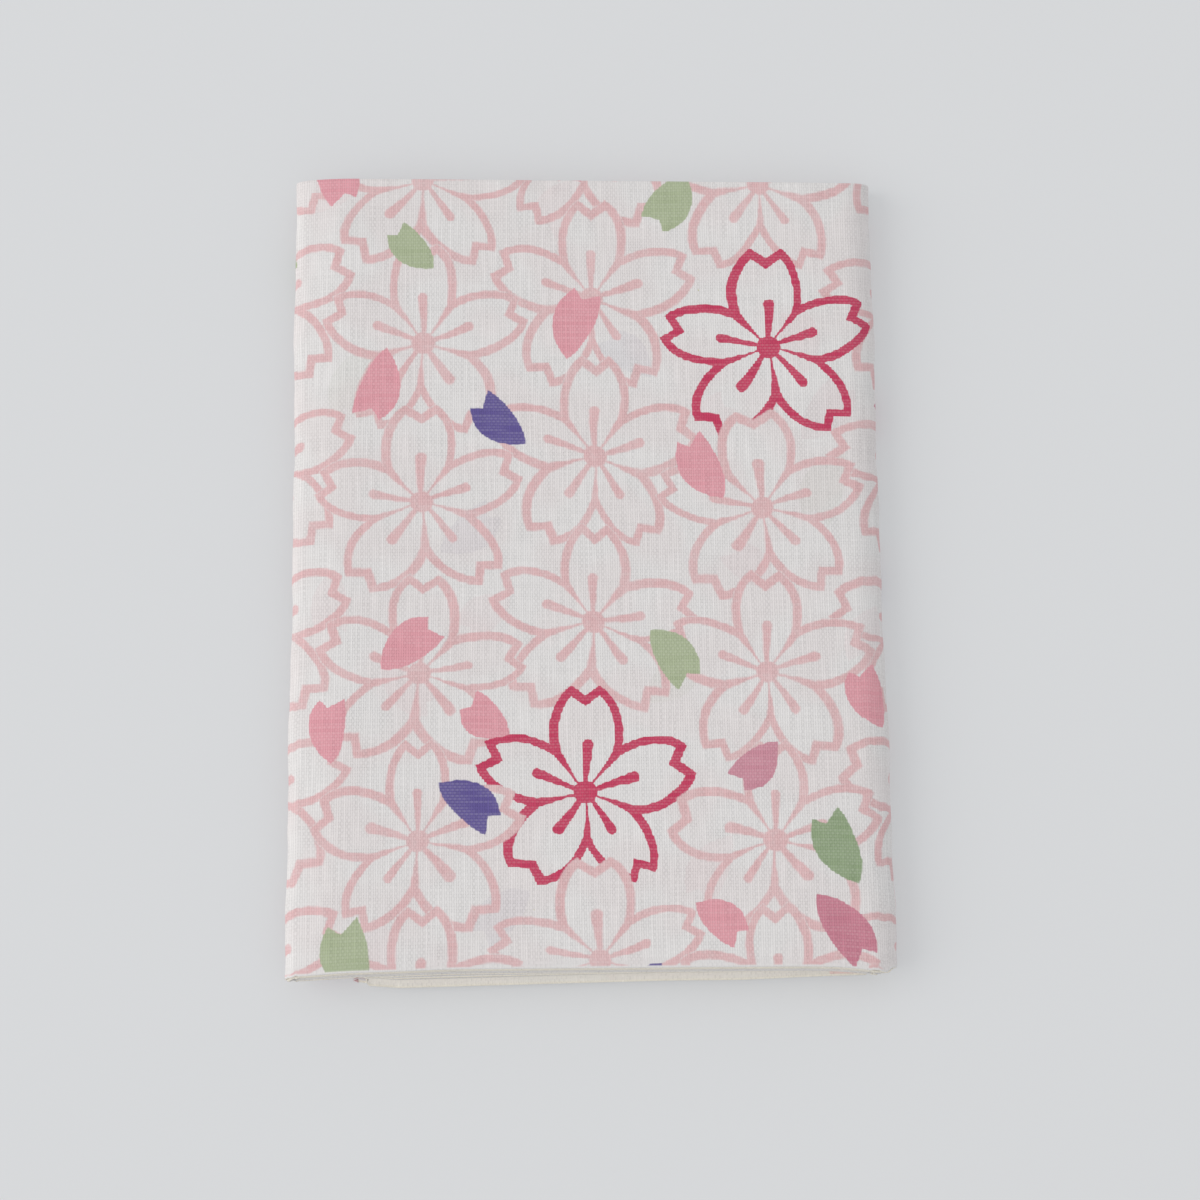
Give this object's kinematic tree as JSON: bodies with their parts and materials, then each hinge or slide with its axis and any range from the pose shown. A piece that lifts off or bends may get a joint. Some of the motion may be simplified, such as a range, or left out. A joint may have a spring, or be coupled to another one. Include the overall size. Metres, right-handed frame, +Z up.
{
  "type": "folded tenugui towel",
  "caption": "Thin plain-woven cotton hand towel folded into a flat rectangular stack, with an all-over cherry blossom print.",
  "frame": {"origin": "centre of the bounding box, at its bottom, on the surface that the cloth lies on", "axes": "+Z up through the stack, +Y across the cloth towards its lengthwise fold, +X towards the thick outer fold"},
  "size_m": [0.1234, 0.1686, 0.0103],
  "materials": {
    "printed_cotton": "open plain-woven cotton, matte, white ground with a dyed pink, crimson, green and violet flower print"
  },
  "bodies": {
    "root": {"folded_cloth": "printed_cotton"}
  },
  "joints": []
}
